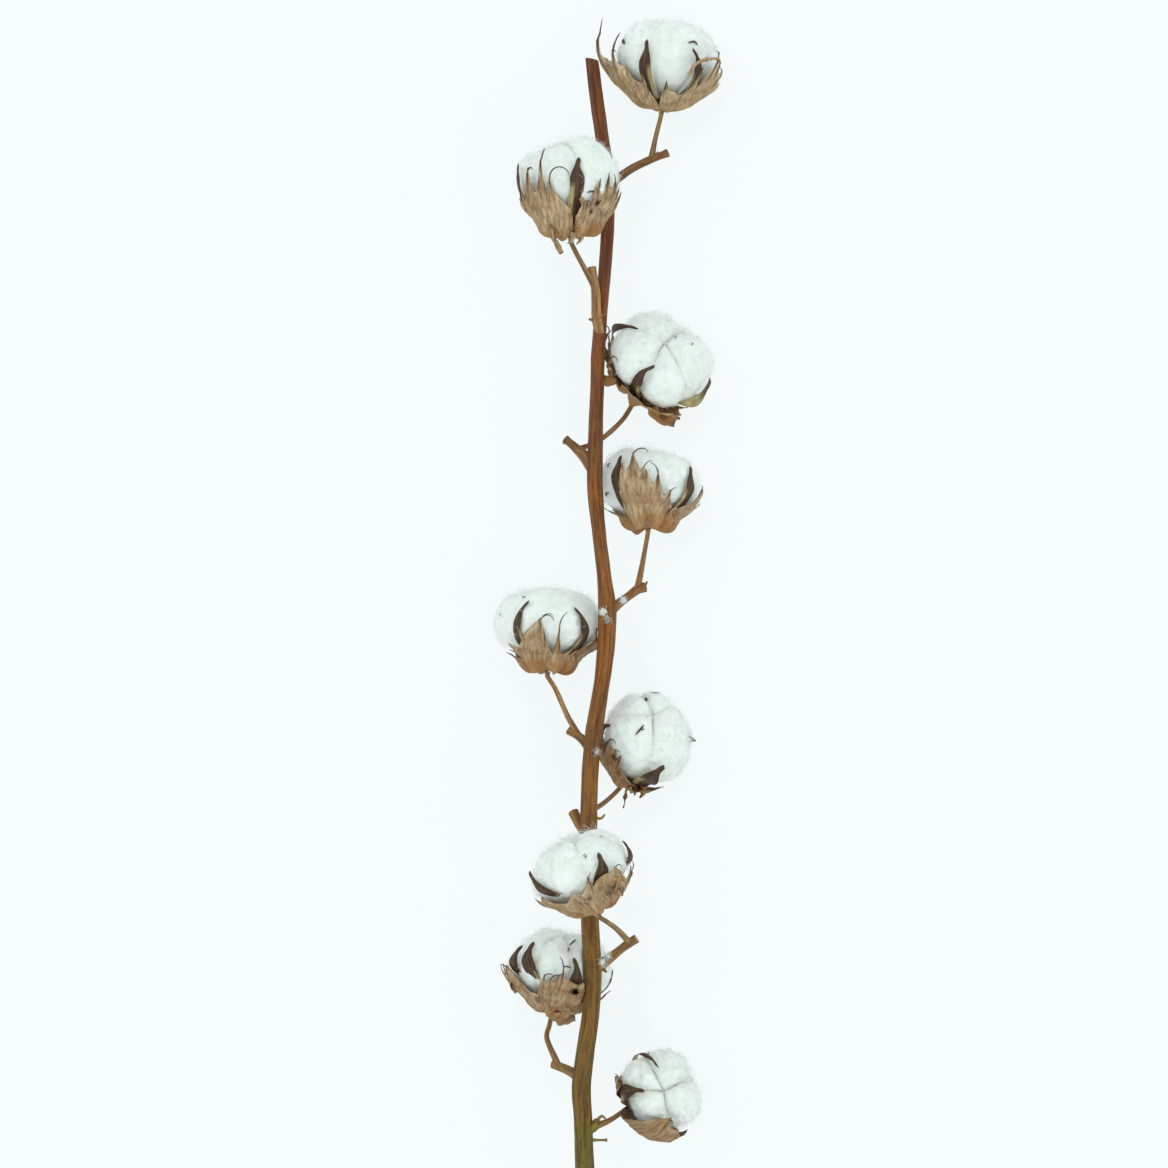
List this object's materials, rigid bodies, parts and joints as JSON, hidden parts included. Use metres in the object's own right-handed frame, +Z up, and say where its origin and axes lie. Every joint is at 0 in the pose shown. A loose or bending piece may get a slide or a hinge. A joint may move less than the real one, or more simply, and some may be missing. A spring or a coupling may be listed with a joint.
{
  "type": "dried cotton branch",
  "caption": "Cut dried cotton branch with a slim woody stem, side twigs and open white bolls in brown husks and tan bracts, lying flat.",
  "frame": {"origin": "point of the surface that the branch lies on, under the middle of its bounding box", "axes": "+Y along the stem from the cut end to the tip, +Z up from the surface, +X to the right of the stem as the picture shows it"},
  "size_m": [0.1434, 0.7607, 0.123],
  "materials": {
    "bark": "satin",
    "lint": "matte",
    "burr": "matte",
    "bract": "matte"
  },
  "bodies": {
    "root": {"woody_stem": "bark", "boll_1_lint": "lint", "boll_1_burr": "burr", "boll_1_bracts": "bract", "boll_2_lint": "lint", "boll_2_burr": "burr", "boll_2_bracts": "bract", "boll_3_lint": "lint", "boll_3_burr": "burr", "boll_3_bracts": "bract", "boll_4_lint": "lint", "boll_4_burr": "burr", "boll_4_bracts": "bract", "boll_5_lint": "lint", "boll_5_burr": "burr", "boll_5_bracts": "bract", "boll_6_lint": "lint", "boll_6_burr": "burr", "boll_6_bracts": "bract", "boll_7_lint": "lint", "boll_7_burr": "burr", "boll_7_bracts": "bract", "boll_8_lint": "lint", "boll_8_burr": "burr", "boll_8_bracts": "bract", "boll_9_lint": "lint", "boll_9_burr": "burr", "boll_9_bracts": "bract"}
  },
  "joints": []
}
